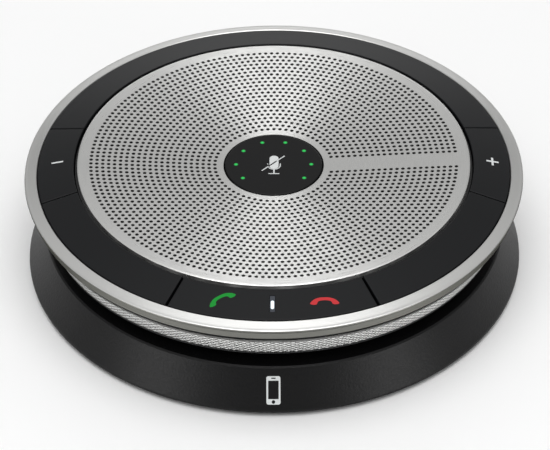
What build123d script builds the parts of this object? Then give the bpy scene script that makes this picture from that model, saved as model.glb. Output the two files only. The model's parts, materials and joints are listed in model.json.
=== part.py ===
from build123d import *
import os
from math import cos, degrees, radians, sin

os.makedirs("parts", exist_ok=True)

# Conference speakerphone: a flat round unit that stands on a table.
# Millimetres and degrees. +Z is up, the origin is on the table at the centre of the foot
# ring, and the front, with the call keys, faces -Y.

# ---- Overall size ----
total_height = 26.0  # table to the grille's outer edge
base_radius = 55.2  # foot of the flared base, the widest point
rim_radius = 54.9  # bead of the metal rim
fit_gap = 0.1  # assembly gap between fixed pieces
wall = 2.0  # moulded shell wall

# ---- Heights of the main seams ----
plate_bottom = 0.8
plate_top = 2.6
skirt_top = 10.4
groove_top = 13.7
deck_top = 15.3
mesh_top = 19.65
housing_top = 20.9
rim_bottom = 21.05
carrier_bottom = 21.2
carrier_top = 22.2
key_underside = 22.9

# ---- Radii of the main seams ----
grille_radius = 43.2
pad_inner_radius = 43.95
pad_outer_radius = 52.0
rim_inner_radius = 52.2
skirt_top_radius = 50.9
groove_mouth_radius = 50.5
spool_radius = 43.5
spool_wall = 2.0

# ---- Sloping top: key ring and dished grille ----
pad_slope = 0.2056  # fall of the key ring per millimetre outwards
dish_slope = 0.0495  # fall of the grille per millimetre inwards
dish_curve = 0.00013
sheet = 0.5  # grille sheet thickness


def pad_top(radius):
    """Height of the key ring's top surface at a radius."""
    return total_height - pad_slope * (radius - grille_radius)


def dish(radius):
    """Height of the grille's top surface at a radius."""
    inward = grille_radius - radius
    return total_height - dish_slope * inward - dish_curve * inward**2


def spoke_plane(angle):
    """Upright plane through the axis, its X pointing outwards at an angle from +X."""
    turn = radians(angle)
    return Plane(origin=(0, 0, 0), x_dir=(cos(turn), sin(turn), 0), z_dir=(sin(turn), -cos(turn), 0))


def polar_point(radius, angle):
    """A point on the table plane, from its radius and angle."""
    return (radius * cos(radians(angle)), radius * sin(radians(angle)))


# ---- Key ring layout: angles are from +X, counter-clockwise seen from above ----
key_half_span = 15.0  # minus and plus keys
rocker_half_span = 25.0  # call and hang-up rocker at the front
thin_slit = 0.3
wide_slit = 0.5
slit_radius = 48.0  # radius at which the slit widths are held
thin_trim = degrees(thin_slit / 2 / slit_radius)
wide_trim = degrees(wide_slit / 2 / slit_radius)
front_angle = -90.0
plus_angle = 0.0
minus_angle = 180.0
edge_round = 0.2

# ---- Key mechanism ----
stem_ring_radius = 47.6
stem_radius = 1.2
stem_hole_radius = 1.7
stem_bottom = 21.3
rocker_stem_angle = 12.8  # to each side of the front
key_pcb_bottom = 18.4
key_pcb_top = 19.4
key_pcb_inner = 43.6
key_pcb_outer = 49.6
dome_gap = 0.05

# ---- Status light in the rocker ----
status_inner = 45.7
status_outer = 49.9
status_width = 1.25
status_gap = 0.1
status_sink = 0.05  # below the rocker's surface
status_centre = (status_inner + status_outer) / 2
status_bottom = 22.4

# ---- Mute button ----
button_radius = 10.8
button_top = 24.42
button_bottom = 22.82
grille_hole_radius = 11.08
mute_travel = 0.6
led_count = 8
led_step = 36.0
led_start = -36.0
led_ring_radius = 8.3
window_radius = 0.5
button_pcb_bottom = 19.2
button_pcb_top = 20.2
cup_floor_bottom = 18.4

# ---- Screws ----
screw_head_radius = 2.2
screw_shank_radius = 1.1
screw_clear_radius = 1.3
screw_count = 4
screw_start = 45.0
base_screw_ring = 38.8
chassis_screw_ring = 40.5
speaker_screw_ring = 33.6
top_screw_head = 1.9  # the chassis and loudspeaker screws' smaller heads
top_screw_head_height = 1.25
cross_length = 2.4  # cross recess in each base screw
cross_width = 0.6
small_cross_length = 2.0
small_cross_width = 0.5
recess_depth = 0.6

# ---- Loudspeaker, nominally 64 mm ----
flange_bottom = 16.0
flange_top = 17.0
flange_radius = 32.0
flange_inner = 26.6
gap_outer = 9.7
gap_inner = 8.5
top_plate_top = 10.2
top_plate_bottom = 8.4
magnet_bottom = 5.2
yoke_bottom = 3.6

# ---- Main board ----
board_inner = 24.0
board_outer = 35.6
board_bottom = 6.0
board_top = 7.2
standoff_ring = 33.6

# ---- Base ----
foot_inner = 45.9
foot_outer = 50.5
foot_bevel = 0.4
foot_seat = 1.6
with BuildPart() as foot_ring:
    with BuildSketch(Plane.XZ):
        with BuildLine():
            Polyline(
                (foot_inner + foot_bevel, 0),
                (foot_outer - foot_bevel, 0),
                (foot_outer, foot_bevel),
                (foot_outer, foot_seat),
                (foot_inner, foot_seat),
                (foot_inner, foot_bevel),
                close=True,
            )
        make_face()
    revolve(axis=Axis.Z)
foot_ring.part.label = "foot_ring"
export_step(foot_ring.part, "parts/foot_ring.step")

base_plate_radius = 51.1
counterbore_top = 1.9
standoff_radius = 2.0
label_recess = (36.0, 22.0)
label_corner = 3.0
label_depth = 0.3
with BuildPart() as base_plate:
    with BuildSketch(Plane.XY.offset(plate_bottom)):
        Circle(base_plate_radius)
    extrude(amount=plate_top - plate_bottom)
    with BuildSketch(Plane.XY.offset(plate_bottom)):
        Circle(foot_outer + fit_gap)
        Circle(foot_inner - fit_gap, mode=Mode.SUBTRACT)
    extrude(amount=foot_seat - plate_bottom, mode=Mode.SUBTRACT)
    with BuildSketch(Plane.XY.offset(plate_bottom)):
        with PolarLocations(base_screw_ring, screw_count, start_angle=screw_start):
            Circle(screw_head_radius + fit_gap)
    extrude(amount=counterbore_top - plate_bottom, mode=Mode.SUBTRACT)
    with BuildSketch(Plane.XY.offset(plate_bottom)):
        with PolarLocations(base_screw_ring, screw_count, start_angle=screw_start):
            Circle(screw_clear_radius)
    extrude(amount=plate_top - plate_bottom, mode=Mode.SUBTRACT)
    with BuildSketch(Plane.XY.offset(plate_top)):
        with PolarLocations(standoff_ring, screw_count):
            Circle(standoff_radius)
    extrude(amount=board_bottom - plate_top)
    with BuildSketch(Plane.XY.offset(plate_bottom)):
        RectangleRounded(*label_recess, label_corner)
    extrude(amount=label_depth, mode=Mode.SUBTRACT)
base_plate.part.label = "base_plate"
export_step(base_plate.part, "parts/base_plate.step")

screw_sink = 0.1
base_screw_tip = 9.0
with BuildPart() as base_screws:
    with BuildSketch(Plane.XY.offset(plate_bottom + screw_sink)):
        with PolarLocations(base_screw_ring, screw_count, start_angle=screw_start):
            Circle(screw_head_radius)
    extrude(amount=counterbore_top - plate_bottom - screw_sink)
    with BuildSketch(Plane.XY.offset(counterbore_top)):
        with PolarLocations(base_screw_ring, screw_count, start_angle=screw_start):
            Circle(screw_shank_radius)
    extrude(amount=base_screw_tip - counterbore_top)
    with BuildSketch(Plane.XY.offset(plate_bottom + screw_sink)):
        with PolarLocations(base_screw_ring, screw_count, start_angle=screw_start):
            Rectangle(cross_length, cross_width)
            Rectangle(cross_width, cross_length)
    extrude(amount=recess_depth, mode=Mode.SUBTRACT)
base_screws.part.label = "base_screws"
export_step(base_screws.part, "parts/base_screws.step")

skirt_plate_radius = base_plate_radius + fit_gap
skirt_deck_bottom = 8.8
skirt_edge = 0.4  # bevel at the foot and round at the top
skirt_inner_foot = 4.0
with BuildPart() as base_skirt:
    with BuildSketch(Plane.XZ):
        with BuildLine():
            Polyline(
                (skirt_plate_radius, plate_bottom),
                (base_radius - skirt_edge, plate_bottom),
                (base_radius, plate_bottom + skirt_edge),
                (base_radius - 0.05, plate_bottom + 0.9),
                (skirt_top_radius + 0.25, skirt_top - 0.35),
                (skirt_top_radius - 0.1, skirt_top),
                (spool_radius + fit_gap, skirt_top),
                (spool_radius + fit_gap, skirt_deck_bottom),
                (skirt_top_radius - wall + skirt_edge, skirt_deck_bottom),
                (skirt_plate_radius, skirt_inner_foot),
                close=True,
            )
        make_face()
    revolve(axis=Axis.Z)
base_skirt.part.label = "base_skirt"
export_step(base_skirt.part, "parts/base_skirt.step")

# ---- Cable groove: the spool wall between the base and the housing above ----
grommet_radius = 1.55
grommet_height = (skirt_top + groove_top) / 2
column_radius = 2.6
column_bottom = plate_top + fit_gap
pilot_top = 9.5
column_web = (3.0, 2.4)
with BuildPart() as cable_spool:
    with BuildSketch(Plane.XY.offset(skirt_deck_bottom)):
        Circle(spool_radius)
        Circle(spool_radius - spool_wall, mode=Mode.SUBTRACT)
    extrude(amount=groove_top - skirt_deck_bottom)
    with BuildSketch(Plane.XY.offset(column_bottom)):
        with PolarLocations(base_screw_ring, screw_count, start_angle=screw_start):
            Circle(column_radius)
    extrude(amount=groove_top - column_bottom)
    with BuildSketch(Plane.XY.offset(skirt_deck_bottom)):
        with PolarLocations(base_screw_ring + column_radius, screw_count, start_angle=screw_start):
            Rectangle(*column_web)
    extrude(amount=groove_top - skirt_deck_bottom)
    with BuildSketch(Plane.XY.offset(column_bottom)):
        with PolarLocations(base_screw_ring, screw_count, start_angle=screw_start):
            Circle(screw_shank_radius)
    extrude(amount=pilot_top - column_bottom, mode=Mode.SUBTRACT)
    with BuildSketch(Plane.XZ.offset(-(spool_radius + 1))):
        with Locations((0, grommet_height)):
            Circle(grommet_radius)
    extrude(amount=spool_wall + 2, mode=Mode.SUBTRACT)
    with BuildSketch(Plane.XY):
        Circle(spool_radius + 5)
        Circle(spool_radius, mode=Mode.SUBTRACT)
    extrude(amount=groove_top, mode=Mode.SUBTRACT)
cable_spool.part.label = "cable_spool"
export_step(cable_spool.part, "parts/cable_spool.step")

cord_radius = 1.1
grommet_proud = 0.8  # how far the grommet stands out of the spool wall, each side
grommet_lip = 0.7
with BuildPart() as cable_grommet:
    with BuildSketch(Plane.XZ.offset(-(spool_radius + grommet_proud))):
        with Locations((0, grommet_height)):
            Circle(grommet_radius - 0.02)
    extrude(amount=spool_wall + 2 * grommet_proud)
    with BuildSketch(Plane.XZ.offset(-(spool_radius - spool_wall - 0.1))):
        with Locations((0, grommet_height)):
            Circle(grommet_radius)
    extrude(amount=grommet_lip)
    with BuildSketch(Plane.XZ.offset(-(spool_radius + grommet_proud))):
        with Locations((0, grommet_height)):
            Circle(cord_radius)
    extrude(amount=spool_wall + 3, mode=Mode.SUBTRACT)
cable_grommet.part.label = "cable_grommet"
export_step(cable_grommet.part, "parts/cable_grommet.step")

# ---- Housing above the groove ----
housing_inner = 30.5
band_foot = 14.0
band_inner_foot = 49.8
band_inner_top = 52.55
band_thickness = 0.75
shadow_radius = 53.0
housing_wall_inner = 50.7
deck_outer = 48.4
seat_gap = 0.05
mic_height = 16.85
mic_count = 3
mic_start = -90.0
mic_port_radius = 0.5
upper_column_radius = 2.4
flex_slot = (9.0, 1.8)
flex_slot_y = 37.2
with BuildPart() as lower_housing:
    with BuildSketch(Plane.XZ):
        with BuildLine():
            Polyline(
                (housing_inner, groove_top),
                (groove_mouth_radius, groove_top),
                (groove_mouth_radius, band_foot - seat_gap),
                (band_inner_foot - seat_gap, band_foot - seat_gap),
                (band_inner_top, mesh_top + seat_gap),
                (shadow_radius, mesh_top + seat_gap),
                (shadow_radius, housing_top),
                (housing_wall_inner, housing_top),
                (housing_wall_inner, mesh_top - 0.2),
                (deck_outer, deck_top),
                (housing_inner, deck_top),
                close=True,
            )
        make_face()
    revolve(axis=Axis.Z)
    with BuildSketch(Plane.XY.offset(deck_top)):
        with PolarLocations(chassis_screw_ring, screw_count, start_angle=screw_start):
            Circle(upper_column_radius)
    extrude(amount=carrier_bottom - deck_top)
    with BuildSketch(Plane.XY.offset(deck_top)):
        with PolarLocations(chassis_screw_ring, screw_count, start_angle=screw_start):
            Circle(screw_shank_radius)
    extrude(amount=carrier_bottom - deck_top, mode=Mode.SUBTRACT)
    with BuildSketch(Plane.XY.offset(groove_top)):
        with PolarLocations(speaker_screw_ring, screw_count):
            Circle(screw_shank_radius)
        with Locations((0, flex_slot_y)):
            Rectangle(*flex_slot)
    extrude(amount=deck_top - groove_top, mode=Mode.SUBTRACT)
    for index in range(mic_count):
        with BuildSketch(spoke_plane(mic_start + 360 / mic_count * index + 90)):
            with Locations((0, mic_height)):
                Circle(mic_port_radius)
        extrude(amount=shadow_radius, mode=Mode.SUBTRACT)
lower_housing.part.label = "lower_housing"
export_step(lower_housing.part, "parts/lower_housing.step")

with BuildPart() as mesh_band:
    with BuildSketch(Plane.XZ):
        with BuildLine():
            Polyline(
                (band_inner_foot, band_foot),
                (band_inner_foot + band_thickness, band_foot),
                (band_inner_top + band_thickness, mesh_top),
                (band_inner_top + seat_gap, mesh_top),
                close=True,
            )
        make_face()
    revolve(axis=Axis.Z)
mesh_band.part.label = "mesh_band"
export_step(mesh_band.part, "parts/mesh_band.step")

boot_inner = 45.2
boot_depth = 2.6
boot_width = 4.0
boot_height = 2.9
boot_floor = 0.6
capsule_radius = 1.1
capsule_depth = 1.4
with BuildPart() as mic_boots:
    for index in range(mic_count):
        with BuildSketch(spoke_plane(mic_start + 360 / mic_count * index)):
            with Locations((boot_inner + boot_depth / 2, mic_height)):
                Rectangle(boot_depth, boot_height)
        extrude(amount=boot_width / 2, both=True)
    for index in range(mic_count):
        mic_face = spoke_plane(mic_start + 360 / mic_count * index + 90)
        with BuildSketch(mic_face.offset(boot_inner + boot_floor)):
            with Locations((0, mic_height)):
                Circle(capsule_radius)
        extrude(amount=boot_depth, mode=Mode.SUBTRACT)
mic_boots.part.label = "mic_boots"
export_step(mic_boots.part, "parts/mic_boots.step")

with BuildPart() as mic_capsules:
    for index in range(mic_count):
        mic_face = spoke_plane(mic_start + 360 / mic_count * index + 90)
        with BuildSketch(mic_face.offset(boot_inner + boot_floor + seat_gap)):
            with Locations((0, mic_height)):
                Circle(capsule_radius - 0.02)
        extrude(amount=capsule_depth)
mic_capsules.part.label = "mic_capsules"
export_step(mic_capsules.part, "parts/mic_capsules.step")

# ---- Metal rim: a sloped top face, a rounded bead and a set-back side ----
bead_top = (54.5, pad_top(54.5))
bead_crest = (rim_radius, 23.42)
bead_foot = (54.5, 23.0)
side_radius = 54.3
shadow_line = (22.93, 22.72, 22.62)  # the groove under the bead: top, bottom and lower edge
shadow_line_radius = 54.05
rim_edge = 0.15  # bevel of the inner edge
rim_inner_edge = rim_inner_radius + rim_edge
with BuildPart() as rim_ring:
    with BuildSketch(Plane.XZ):
        with BuildLine():
            Line((rim_inner_edge, pad_top(rim_inner_edge)), bead_top)
            ThreePointArc(bead_top, bead_crest, bead_foot)
            Polyline(
                bead_foot,
                (shadow_line_radius, shadow_line[0]),
                (shadow_line_radius, shadow_line[1]),
                (side_radius, shadow_line[2]),
                (side_radius - 0.1, rim_bottom),
                (rim_inner_radius, rim_bottom),
                (rim_inner_radius, pad_top(rim_inner_radius) - rim_edge),
                (rim_inner_edge, pad_top(rim_inner_edge)),
            )
        make_face()
    revolve(axis=Axis.Z)
rim_ring.part.label = "rim_ring"
export_step(rim_ring.part, "parts/rim_ring.step")

# ---- Carrier plate under the key ring ----
carrier_inner = 37.5
carrier_outer = 52.1
carrier_wall_inner = 50.8
post_ring_radius = 46.6
post_radius = 1.2
rib_width = 0.8
rib_depth = 0.8
rib_gap = 0.05
carrier_seat = 0.02
light_well_side = 0.4  # room beside the status light
with BuildPart() as keypad_carrier:
    with BuildSketch(Plane.XY.offset(carrier_bottom)):
        Circle(carrier_outer)
        Circle(carrier_inner, mode=Mode.SUBTRACT)
        for angle in (plus_angle, minus_angle):
            with Locations(polar_point(stem_ring_radius, angle)):
                Circle(stem_hole_radius, mode=Mode.SUBTRACT)
        for angle in (front_angle - rocker_stem_angle, front_angle + rocker_stem_angle):
            with Locations(polar_point(stem_ring_radius, angle)):
                Circle(stem_hole_radius, mode=Mode.SUBTRACT)
        with Locations(polar_point(status_centre, front_angle)):
            Rectangle(status_width + 2 * light_well_side, status_outer - status_inner, mode=Mode.SUBTRACT)
        with PolarLocations(chassis_screw_ring, screw_count, start_angle=screw_start):
            Circle(screw_clear_radius, mode=Mode.SUBTRACT)
    extrude(amount=carrier_top - carrier_bottom)
    with BuildSketch(Plane.XY.offset(housing_top + carrier_seat)):
        Circle(carrier_outer)
        Circle(carrier_wall_inner, mode=Mode.SUBTRACT)
    extrude(amount=carrier_bottom - housing_top - carrier_seat)
    with BuildSketch(Plane.XY.offset(key_pcb_top)):
        with PolarLocations(post_ring_radius, screw_count, start_angle=screw_start):
            Circle(post_radius)
    extrude(amount=carrier_bottom - key_pcb_top)
    with BuildSketch(Plane.XY.offset(carrier_top)):
        for radius in (status_inner - rib_depth, status_outer + rib_depth):
            with Locations(polar_point(radius, front_angle)):
                Rectangle(rib_width, rib_depth)
    extrude(amount=key_underside - rib_gap - carrier_top)
keypad_carrier.part.label = "keypad_carrier"
export_step(keypad_carrier.part, "parts/keypad_carrier.step")

chassis_screw_tip = deck_top + 1.0
with BuildPart() as chassis_screws:
    with BuildSketch(Plane.XY.offset(carrier_top)):
        with PolarLocations(chassis_screw_ring, screw_count, start_angle=screw_start):
            Circle(top_screw_head)
    extrude(amount=top_screw_head_height)
    with BuildSketch(Plane.XY.offset(chassis_screw_tip)):
        with PolarLocations(chassis_screw_ring, screw_count, start_angle=screw_start):
            Circle(screw_shank_radius)
    extrude(amount=carrier_top - chassis_screw_tip)
    with BuildSketch(Plane.XY.offset(carrier_top + top_screw_head_height)):
        with PolarLocations(chassis_screw_ring, screw_count, start_angle=screw_start):
            Rectangle(small_cross_length, small_cross_width)
            Rectangle(small_cross_width, small_cross_length)
    extrude(amount=-recess_depth, mode=Mode.SUBTRACT)
chassis_screws.part.label = "chassis_screws"
export_step(chassis_screws.part, "parts/chassis_screws.step")

gasket_top = 25.0
gasket_outer_gap = 0.25
gasket_inner_gap = 0.05
with BuildPart() as grille_gasket:
    with BuildSketch(Plane.XY.offset(carrier_top)):
        Circle(pad_inner_radius - gasket_outer_gap)
        Circle(grille_radius + gasket_inner_gap, mode=Mode.SUBTRACT)
    extrude(amount=gasket_top - carrier_top)
grille_gasket.part.label = "grille_gasket"
export_step(grille_gasket.part, "parts/grille_gasket.step")

# ---- Fixed pads of the key ring ----
fixed_pads = {
    "pad_back": (plus_angle + key_half_span + thin_trim, minus_angle - key_half_span - thin_trim),
    "pad_front_left": (
        minus_angle + key_half_span + thin_trim,
        360 + front_angle - rocker_half_span - wide_trim,
    ),
    "pad_front_right": (
        360 + front_angle + rocker_half_span + wide_trim,
        360 + plus_angle - key_half_span - thin_trim,
    ),
}
for pad_name, (start_angle, end_angle) in fixed_pads.items():
    with BuildPart() as pad:
        with BuildSketch(spoke_plane(start_angle)):
            with BuildLine():
                Polyline(
                    (pad_inner_radius, carrier_top),
                    (pad_outer_radius, carrier_top),
                    (pad_outer_radius, pad_top(pad_outer_radius)),
                    (pad_inner_radius, pad_top(pad_inner_radius)),
                    close=True,
                )
            make_face()
        revolve(axis=Axis.Z, revolution_arc=end_angle - start_angle)
        fillet(pad.faces().sort_by(Axis.Z)[-1].edges(), radius=edge_round)
    pad.part.label = pad_name
    export_step(pad.part, f"parts/{pad_name}.step")

# ---- Volume keys: a pad with a stem that goes through the carrier ----
volume_keys = {"key_plus": plus_angle, "key_minus": minus_angle}
for key_name, key_angle in volume_keys.items():
    with BuildPart() as key:
        with BuildSketch(spoke_plane(key_angle - key_half_span + thin_trim)):
            with BuildLine():
                Polyline(
                    (pad_inner_radius, key_underside),
                    (pad_outer_radius, key_underside),
                    (pad_outer_radius, pad_top(pad_outer_radius)),
                    (pad_inner_radius, pad_top(pad_inner_radius)),
                    close=True,
                )
            make_face()
        revolve(axis=Axis.Z, revolution_arc=2 * (key_half_span - thin_trim))
        fillet(key.faces().sort_by(Axis.Z)[-1].edges(), radius=edge_round)
        with BuildSketch(Plane.XY.offset(stem_bottom)):
            with Locations(polar_point(stem_ring_radius, key_angle)):
                Circle(stem_radius)
        extrude(amount=key_underside - stem_bottom)
    key.part.label = key_name
    export_step(key.part, f"parts/{key_name}.step")

# ---- Front rocker: call at one end, hang-up at the other, the light at its fulcrum ----
with BuildPart() as key_call_rocker:
    with BuildSketch(spoke_plane(front_angle - rocker_half_span + wide_trim)):
        with BuildLine():
            Polyline(
                (pad_inner_radius, key_underside),
                (pad_outer_radius, key_underside),
                (pad_outer_radius, pad_top(pad_outer_radius)),
                (pad_inner_radius, pad_top(pad_inner_radius)),
                close=True,
            )
        make_face()
    revolve(axis=Axis.Z, revolution_arc=2 * (rocker_half_span - wide_trim))
    fillet(key_call_rocker.faces().sort_by(Axis.Z)[-1].edges(), radius=edge_round)
    with BuildSketch(Plane.XY.offset(stem_bottom)):
        for angle in (front_angle - rocker_stem_angle, front_angle + rocker_stem_angle):
            with Locations(polar_point(stem_ring_radius, angle)):
                Circle(stem_radius)
    extrude(amount=key_underside - stem_bottom)
    with BuildSketch(Plane.XY.offset(key_underside)):
        with Locations(polar_point(status_centre, front_angle)):
            Rectangle(status_width, status_outer - status_inner)
    extrude(amount=total_height - key_underside, mode=Mode.SUBTRACT)
key_call_rocker.part.label = "key_call_rocker"
export_step(key_call_rocker.part, "parts/key_call_rocker.step")

with BuildPart() as status_light:
    with BuildSketch(Plane.YZ.offset(-(status_width / 2 - status_gap))):
        with BuildLine():
            Polyline(
                (-(status_outer - status_gap), status_bottom),
                (-(status_inner + status_gap), status_bottom),
                (-(status_inner + status_gap), pad_top(status_inner) - status_sink),
                (-(status_outer - status_gap), pad_top(status_outer) - status_sink),
                close=True,
            )
        make_face()
    extrude(amount=status_width - 2 * status_gap)
status_light.part.label = "status_light"
export_step(status_light.part, "parts/status_light.step")

# ---- Key board with its domes, switches and light ----
with BuildPart() as key_pcb:
    with BuildSketch(Plane.XY.offset(key_pcb_bottom)):
        Circle(key_pcb_outer)
        Circle(key_pcb_inner, mode=Mode.SUBTRACT)
    extrude(amount=key_pcb_top - key_pcb_bottom)
key_pcb.part.label = "key_pcb"
export_step(key_pcb.part, "parts/key_pcb.step")

dome_foot_radius = 1.9
dome_tip_radius = 1.1
for dome_name, dome_angle in {"plus_dome": plus_angle, "minus_dome": minus_angle}.items():
    with BuildPart() as dome:
        with BuildSketch(Plane.XY.offset(key_pcb_top)):
            with Locations(polar_point(stem_ring_radius, dome_angle)):
                Circle(dome_foot_radius)
        with BuildSketch(Plane.XY.offset(stem_bottom - dome_gap)):
            with Locations(polar_point(stem_ring_radius, dome_angle)):
                Circle(dome_tip_radius)
        loft()
    dome.part.label = dome_name
    export_step(dome.part, f"parts/{dome_name}.step")

switch_side = 3.2
switch_corner = 0.4
switch_height = 0.9
plunger_radius = 1.0
plunger_height = 0.5
switch_ring_radius = stem_ring_radius - 0.4
with BuildPart() as rocker_switches:
    with BuildSketch(Plane.XY.offset(key_pcb_top)):
        for angle in (front_angle - rocker_stem_angle, front_angle + rocker_stem_angle):
            with Locations(polar_point(switch_ring_radius, angle)):
                RectangleRounded(switch_side, switch_side, switch_corner)
    extrude(amount=switch_height)
    with BuildSketch(Plane.XY.offset(key_pcb_top + switch_height)):
        for angle in (front_angle - rocker_stem_angle, front_angle + rocker_stem_angle):
            with Locations(polar_point(switch_ring_radius, angle)):
                Circle(plunger_radius)
    extrude(amount=plunger_height)
rocker_switches.part.label = "rocker_switches"
export_step(rocker_switches.part, "parts/rocker_switches.step")

lamp_size = (0.8, 1.6)  # every small lamp on the boards
lamp_height = 0.6
with BuildPart() as status_led:
    with BuildSketch(Plane.XY.offset(key_pcb_top)):
        with Locations(polar_point(status_centre, front_angle)):
            Rectangle(*lamp_size)
    extrude(amount=lamp_height)
status_led.part.label = "status_led"
export_step(status_led.part, "parts/status_led.step")

flex_width = 7.0
flex_thickness = 0.25
flex_route = [(34.8, board_top), (34.8, 9.2), (flex_slot_y, 12.0), (flex_slot_y, 16.4), (44.6, 18.1)]
with BuildPart() as key_flex:
    with BuildSketch(Plane.YZ.offset(-flex_width / 2)):
        with BuildLine():
            Polyline(*flex_route)
            offset(amount=flex_thickness, side=Side.LEFT)
        make_face()
    extrude(amount=flex_width)
key_flex.part.label = "key_flex"
export_step(key_flex.part, "parts/key_flex.step")

# ---- Grille and the cloth behind it ----
grille_shoulder = grille_radius - 0.4
flange_sheet = grille_radius - sheet
middle_radius = (grille_hole_radius + grille_radius) / 2
with BuildPart() as speaker_grille:
    with BuildSketch(Plane.XZ):
        with BuildLine():
            ThreePointArc(
                (grille_hole_radius, dish(grille_hole_radius)),
                (middle_radius, dish(middle_radius)),
                (grille_shoulder, dish(grille_shoulder)),
            )
            Polyline(
                (grille_shoulder, dish(grille_shoulder)),
                (grille_radius - 0.1, total_height - 0.12),
                (grille_radius, total_height - 0.4),
                (grille_radius, carrier_top),
                (flange_sheet, carrier_top),
                (flange_sheet, dish(flange_sheet) - sheet),
            )
            ThreePointArc(
                (flange_sheet, dish(flange_sheet) - sheet),
                (middle_radius, dish(middle_radius) - sheet),
                (grille_hole_radius, dish(grille_hole_radius) - sheet),
            )
            Line(
                (grille_hole_radius, dish(grille_hole_radius) - sheet),
                (grille_hole_radius, dish(grille_hole_radius)),
            )
        make_face()
    revolve(axis=Axis.Z)
speaker_grille.part.label = "speaker_grille"
export_step(speaker_grille.part, "parts/speaker_grille.step")

cloth_inner = 13.2
cloth_outer = 42.2
cloth_drop = sheet + seat_gap
cloth_thickness = 0.2
cloth_middle = (cloth_inner + cloth_outer) / 2
with BuildPart() as grille_cloth:
    with BuildSketch(Plane.XZ):
        with BuildLine():
            ThreePointArc(
                (cloth_inner, dish(cloth_inner) - cloth_drop),
                (cloth_middle, dish(cloth_middle) - cloth_drop),
                (cloth_outer, dish(cloth_outer) - cloth_drop),
            )
            Line(
                (cloth_outer, dish(cloth_outer) - cloth_drop),
                (cloth_outer, dish(cloth_outer) - cloth_drop - cloth_thickness),
            )
            ThreePointArc(
                (cloth_outer, dish(cloth_outer) - cloth_drop - cloth_thickness),
                (cloth_middle, dish(cloth_middle) - cloth_drop - cloth_thickness),
                (cloth_inner, dish(cloth_inner) - cloth_drop - cloth_thickness),
            )
            Line(
                (cloth_inner, dish(cloth_inner) - cloth_drop - cloth_thickness),
                (cloth_inner, dish(cloth_inner) - cloth_drop),
            )
        make_face()
    revolve(axis=Axis.Z)
grille_cloth.part.label = "grille_cloth"
export_step(grille_cloth.part, "parts/grille_cloth.step")

# ---- Bridge that carries the mute button over the loudspeaker ----
cup_outer = 12.8
cup_top = 23.2
arm_count = 3
arm_width = 2.6
arm_reach = 39.4
arm_bottom = carrier_top + carrier_seat
arm_overlap = 0.2  # how far each arm runs into the cup, and past its reach
with BuildPart() as button_bridge:
    with BuildSketch(Plane.XY.offset(cup_floor_bottom)):
        Circle(cup_outer)
    extrude(amount=cup_top - cup_floor_bottom)
    with BuildSketch(Plane.XY.offset(button_pcb_bottom)):
        Circle(grille_hole_radius)
    extrude(amount=cup_top - button_pcb_bottom, mode=Mode.SUBTRACT)
    with BuildSketch(Plane.XY.offset(arm_bottom)):
        with PolarLocations((cup_outer + arm_reach) / 2 - arm_overlap, arm_count, start_angle=90):
            Rectangle(arm_reach - cup_outer + 2 * arm_overlap, arm_width)
    extrude(amount=cup_top - arm_bottom)
button_bridge.part.label = "button_bridge"
export_step(button_bridge.part, "parts/button_bridge.step")

button_pcb_gap = 0.3
with BuildPart() as button_pcb:
    with BuildSketch(Plane.XY.offset(button_pcb_bottom)):
        Circle(grille_hole_radius - button_pcb_gap)
    extrude(amount=button_pcb_top - button_pcb_bottom)
button_pcb.part.label = "button_pcb"
export_step(button_pcb.part, "parts/button_pcb.step")

led_angles = [led_start + led_step * index for index in range(led_count)]
with BuildPart() as button_leds:
    with BuildSketch(Plane.XY.offset(button_pcb_top)):
        for angle in led_angles:
            with Locations(Location((*polar_point(led_ring_radius, angle), 0), (0, 0, angle))):
                Rectangle(*lamp_size)
    extrude(amount=lamp_height)
button_leds.part.label = "button_leds"
export_step(button_leds.part, "parts/button_leds.step")

mute_stem_radius = 1.8
mute_stem_bottom = 21.65
button_round = 0.3
with BuildPart() as mute_button:
    with BuildSketch(Plane.XY.offset(button_bottom)):
        Circle(button_radius)
    extrude(amount=button_top - button_bottom)
    fillet(mute_button.faces().sort_by(Axis.Z)[-1].edges(), radius=button_round)
    with BuildSketch(Plane.XY.offset(mute_stem_bottom)):
        Circle(mute_stem_radius)
    extrude(amount=button_bottom - mute_stem_bottom)
    with BuildSketch(Plane.XY.offset(button_bottom)):
        for angle in led_angles:
            with Locations(polar_point(led_ring_radius, angle)):
                Circle(window_radius)
    extrude(amount=button_top - button_bottom, mode=Mode.SUBTRACT)
mute_button.part.label = "mute_button"
export_step(mute_button.part, "parts/mute_button.step")

window_bottom = 22.3
with BuildPart() as led_windows:
    with BuildSketch(Plane.XY.offset(window_bottom)):
        for angle in led_angles:
            with Locations(polar_point(led_ring_radius, angle)):
                Circle(window_radius - 0.02)
    extrude(amount=button_top - window_bottom)
led_windows.part.label = "led_windows"
export_step(led_windows.part, "parts/led_windows.step")

mute_dome_foot = 3.2
mute_dome_tip = 1.9
with BuildPart() as mute_dome:
    with BuildSketch(Plane.XY.offset(button_pcb_top)):
        Circle(mute_dome_foot)
    with BuildSketch(Plane.XY.offset(mute_stem_bottom - dome_gap)):
        Circle(mute_dome_tip)
    loft()
mute_dome.part.label = "mute_dome"
export_step(mute_dome.part, "parts/mute_dome.step")

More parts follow.
